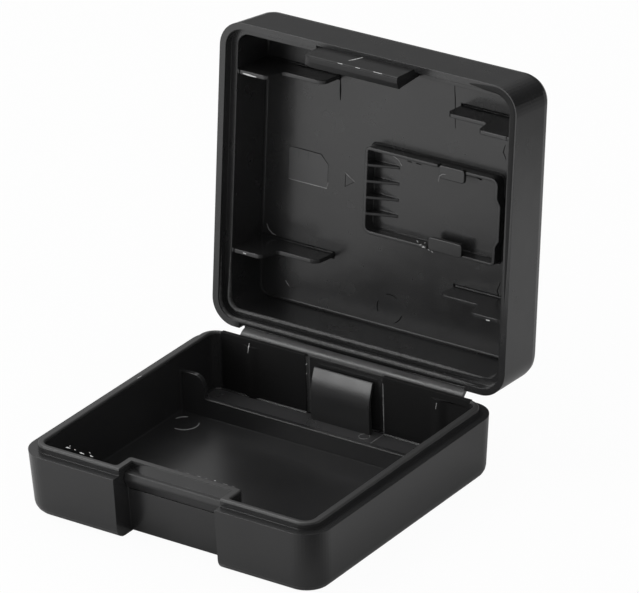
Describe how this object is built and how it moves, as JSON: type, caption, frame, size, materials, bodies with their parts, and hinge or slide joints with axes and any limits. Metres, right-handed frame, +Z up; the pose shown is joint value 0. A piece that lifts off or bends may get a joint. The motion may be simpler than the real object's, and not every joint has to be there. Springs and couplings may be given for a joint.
{
  "type": "hinged battery case",
  "caption": "Small square two-shell plastic case for a flat camera battery and a memory card, with a film hinge, a snap latch and a spring tongue.",
  "frame": {"origin": "centre of the flat underside of the base", "axes": "+X along the hinge to the side with the card pocket, -Y towards the latch, +Z up from the table"},
  "size_m": [0.05, 0.0616, 0.0559],
  "materials": {
    "shell_plastic": "black polypropylene with a fine satin grain",
    "inner_plastic": "black polypropylene, smooth and slightly glossy",
    "polished_plastic": "black polypropylene as it left a polished tool"
  },
  "bodies": {
    "base": {"base_tray": "shell_plastic", "rear_cross_wall": "inner_plastic", "latch_catch": "shell_plastic"},
    "tongue": {"battery_spring": "polished_plastic"},
    "strap": {"hinge_strip": "polished_plastic"},
    "lid": {"lid_shell": "shell_plastic", "hold_down_rib_front_left": "inner_plastic", "hold_down_rib_front_right": "inner_plastic", "hold_down_rib_rear_left": "inner_plastic", "hold_down_rib_rear_right": "inner_plastic", "card_frame": "inner_plastic", "card_clip_upper": "inner_plastic", "card_clip_lower": "inner_plastic"},
    "latch": {"latch_tab": "shell_plastic"}
  },
  "joints": [
    {"name": "base_film", "type": "hinge", "parent": "base", "child": "strap", "pos_m": [0, 0.02305, 0.0083], "axis": [-1, 0, 0], "range_deg": [-48.05, 34.4]},
    {"name": "lid_film", "type": "hinge", "parent": "strap", "child": "lid", "pos_m": [0, 0.02498, 0.01004], "axis": [-1, 0, 0], "range_deg": [-48.05, 34.4]},
    {"name": "latch_flex", "type": "hinge", "parent": "lid", "child": "latch", "pos_m": [0, 0.02918, 0.05491], "axis": [-1, 0, 0], "range_deg": [0, 12], "stiffness_Nm_per_rad": 0.05},
    {"name": "tongue_flex", "type": "hinge", "parent": "base", "child": "tongue", "pos_m": [0, 0.01991, 0.0018], "axis": [-1, 0, 0], "range_deg": [0, 3], "stiffness_Nm_per_rad": 0.08}
  ],
  "couplings": [
    {"joint": "base_film", "follows": "lid_film", "ratio": 1}
  ]
}
